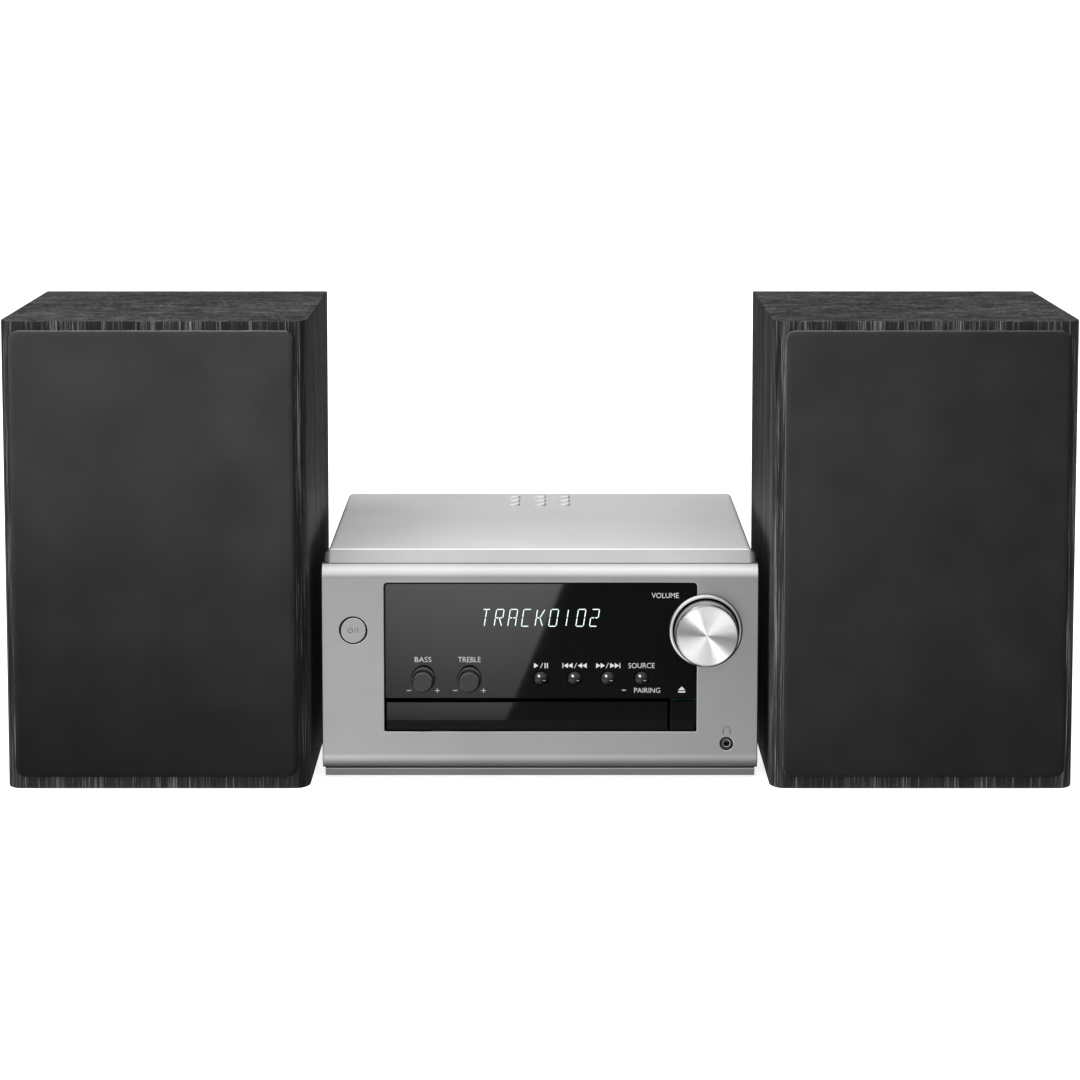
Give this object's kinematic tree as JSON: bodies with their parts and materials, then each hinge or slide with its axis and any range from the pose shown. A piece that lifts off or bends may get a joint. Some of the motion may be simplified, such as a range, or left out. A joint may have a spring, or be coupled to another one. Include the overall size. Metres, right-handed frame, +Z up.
{
  "type": "mini hifi system",
  "caption": "Compact disc receiver with display, knobs and a sliding disc drawer, standing between two bookshelf speakers with pull-off cloth grilles.",
  "frame": {"origin": "on the surface the system stands on, midway between the speakers' outer sides and midway from the grilles to the rear sockets", "axes": "+X to the listener's right, +Y away from the listener, +Z up"},
  "size_m": [0.5104, 0.257, 0.224],
  "materials": {
    "silver_panel": "satin, rolled edges",
    "silver_frame": "silver paint on a moulding",
    "cover_paint": "pale silver powder coat",
    "chassis_steel": "zinc-plated sheet",
    "rear_paint": "fine black paint",
    "window_gloss": "polished black",
    "spun_aluminium": "spun face, polished rim",
    "dark_knob": "dark satin",
    "circuit_board": "solder mask",
    "heatsink_aluminium": "extruded",
    "black_plastic": "moulded",
    "socket_metal": "nickel plate",
    "foot_rubber": "matt",
    "cabinet_woodgrain": "black ash woodgrain",
    "cone_paper": "pressed pulp",
    "magnet_ferrite": "ferrite and plated steel",
    "grille_cloth": "fine black knit"
  },
  "bodies": {
    "receiver": {"front_panel": "silver_panel", "front_frame": "silver_frame", "top_cover": "cover_paint", "base_chassis": "chassis_steel", "clamp_bridge": "chassis_steel", "volume_encoder": "chassis_steel", "loader_motor": "chassis_steel", "rear_panel": "rear_paint", "display_window": "window_gloss", "knob_bezel": "spun_aluminium", "control_board": "circuit_board", "main_board": "circuit_board", "power_supply": "circuit_board", "heatsink": "heatsink_aluminium", "display_module": "black_plastic", "loader_frame": "black_plastic", "headphone_jack": "black_plastic", "mains_inlet": "black_plastic", "aux_sockets": "black_plastic", "speaker_terminals": "black_plastic", "antenna_socket": "socket_metal", "foot_front_left": "foot_rubber", "foot_front_right": "foot_rubber", "foot_rear_left": "foot_rubber", "foot_rear_right": "foot_rubber"},
    "volume_knob": {"volume_knob": "spun_aluminium"},
    "bass_knob": {"bass_knob": "dark_knob"},
    "treble_knob": {"treble_knob": "dark_knob"},
    "power_button": {"power_button": "silver_panel"},
    "play_button": {"play_button": "window_gloss"},
    "previous_button": {"previous_button": "window_gloss"},
    "next_button": {"next_button": "window_gloss"},
    "selector_button": {"selector_button": "window_gloss"},
    "eject_button": {"eject_button": "window_gloss"},
    "disc_tray": {"disc_tray": "black_plastic", "tray_front": "window_gloss"},
    "tray_gear": {"tray_gear": "black_plastic"},
    "turntable": {"turntable": "black_plastic"},
    "disc_clamp": {"disc_clamp": "black_plastic"},
    "pickup_sled": {"pickup_sled": "black_plastic"},
    "left_speaker": {"left_cabinet": "cabinet_woodgrain", "left_woofer_frame": "black_plastic", "left_woofer_cone": "cone_paper", "left_woofer_magnet": "magnet_ferrite", "left_tweeter": "black_plastic", "left_port_tube": "black_plastic", "left_terminal_cup": "black_plastic", "left_crossover": "circuit_board"},
    "left_grille": {"left_grille_frame": "black_plastic", "left_grille_cloth": "grille_cloth"},
    "right_speaker": {"right_cabinet": "cabinet_woodgrain", "right_woofer_frame": "black_plastic", "right_woofer_cone": "cone_paper", "right_woofer_magnet": "magnet_ferrite", "right_tweeter": "black_plastic", "right_port_tube": "black_plastic", "right_terminal_cup": "black_plastic", "right_crossover": "circuit_board"},
    "right_grille": {"right_grille_frame": "black_plastic", "right_grille_cloth": "grille_cloth"}
  },
  "joints": [
    {"name": "volume_turn", "type": "hinge", "parent": "receiver", "child": "volume_knob", "pos_m": [0.0797, -0.1095, 0.0733], "axis": [0, 1, 0], "continuous": true},
    {"name": "bass_turn", "type": "hinge", "parent": "receiver", "child": "bass_knob", "pos_m": [-0.0563, -0.1055, 0.0497], "axis": [0, 1, 0], "range_deg": [-145, 145]},
    {"name": "treble_turn", "type": "hinge", "parent": "receiver", "child": "treble_knob", "pos_m": [-0.034, -0.1055, 0.0497], "axis": [0, 1, 0], "range_deg": [-145, 145]},
    {"name": "power_press", "type": "slide", "parent": "receiver", "child": "power_button", "axis": [0, 1, 0], "range_m": [0, 0.0008], "stiffness_N_per_m": 1200},
    {"name": "play_press", "type": "slide", "parent": "receiver", "child": "play_button", "axis": [0, 1, 0], "range_m": [0, 0.0008], "stiffness_N_per_m": 1200},
    {"name": "previous_press", "type": "slide", "parent": "receiver", "child": "previous_button", "axis": [0, 1, 0], "range_m": [0, 0.0008], "stiffness_N_per_m": 1200},
    {"name": "next_press", "type": "slide", "parent": "receiver", "child": "next_button", "axis": [0, 1, 0], "range_m": [0, 0.0008], "stiffness_N_per_m": 1200},
    {"name": "selector_press", "type": "slide", "parent": "receiver", "child": "selector_button", "axis": [0, 1, 0], "range_m": [0, 0.0008], "stiffness_N_per_m": 1200},
    {"name": "eject_press", "type": "slide", "parent": "receiver", "child": "eject_button", "axis": [0, 1, 0], "range_m": [0, 0.0008], "stiffness_N_per_m": 1200},
    {"name": "tray_slide", "type": "slide", "parent": "receiver", "child": "disc_tray", "axis": [0, -1, 0], "range_m": [0, 0.125]},
    {"name": "tray_gear_turn", "type": "hinge", "parent": "receiver", "child": "tray_gear", "pos_m": [-0.0487, -0.0785, 0.026], "axis": [0, 0, 1], "range_deg": [0, 690]},
    {"name": "turntable_spin", "type": "hinge", "parent": "receiver", "child": "turntable", "pos_m": [-0.0062, -0.0315, 0.03], "axis": [0, 0, 1], "continuous": true},
    {"name": "disc_clamp_spin", "type": "hinge", "parent": "receiver", "child": "disc_clamp", "pos_m": [-0.0062, -0.0315, 0.042], "axis": [0, 0, 1], "continuous": true},
    {"name": "pickup_travel", "type": "slide", "parent": "receiver", "child": "pickup_sled", "axis": [0, 1, 0], "range_m": [0, 0.034]},
    {"name": "left_speaker_place", "type": "slide", "parent": "receiver", "child": "left_speaker", "axis": [-1, 0, 0], "range_m": [0, 0.3]},
    {"name": "left_grille_pull", "type": "slide", "parent": "left_speaker", "child": "left_grille", "axis": [0, -1, 0], "range_m": [0, 0.03]},
    {"name": "right_speaker_place", "type": "slide", "parent": "receiver", "child": "right_speaker", "axis": [1, 0, 0], "range_m": [0, 0.3]},
    {"name": "right_grille_pull", "type": "slide", "parent": "right_speaker", "child": "right_grille", "axis": [0, -1, 0], "range_m": [0, 0.03]}
  ],
  "couplings": [
    {"joint": "tray_gear_turn", "follows": "tray_slide", "rad_per_m": 95.238},
    {"joint": "disc_clamp_spin", "follows": "turntable_spin", "ratio": 1}
  ]
}
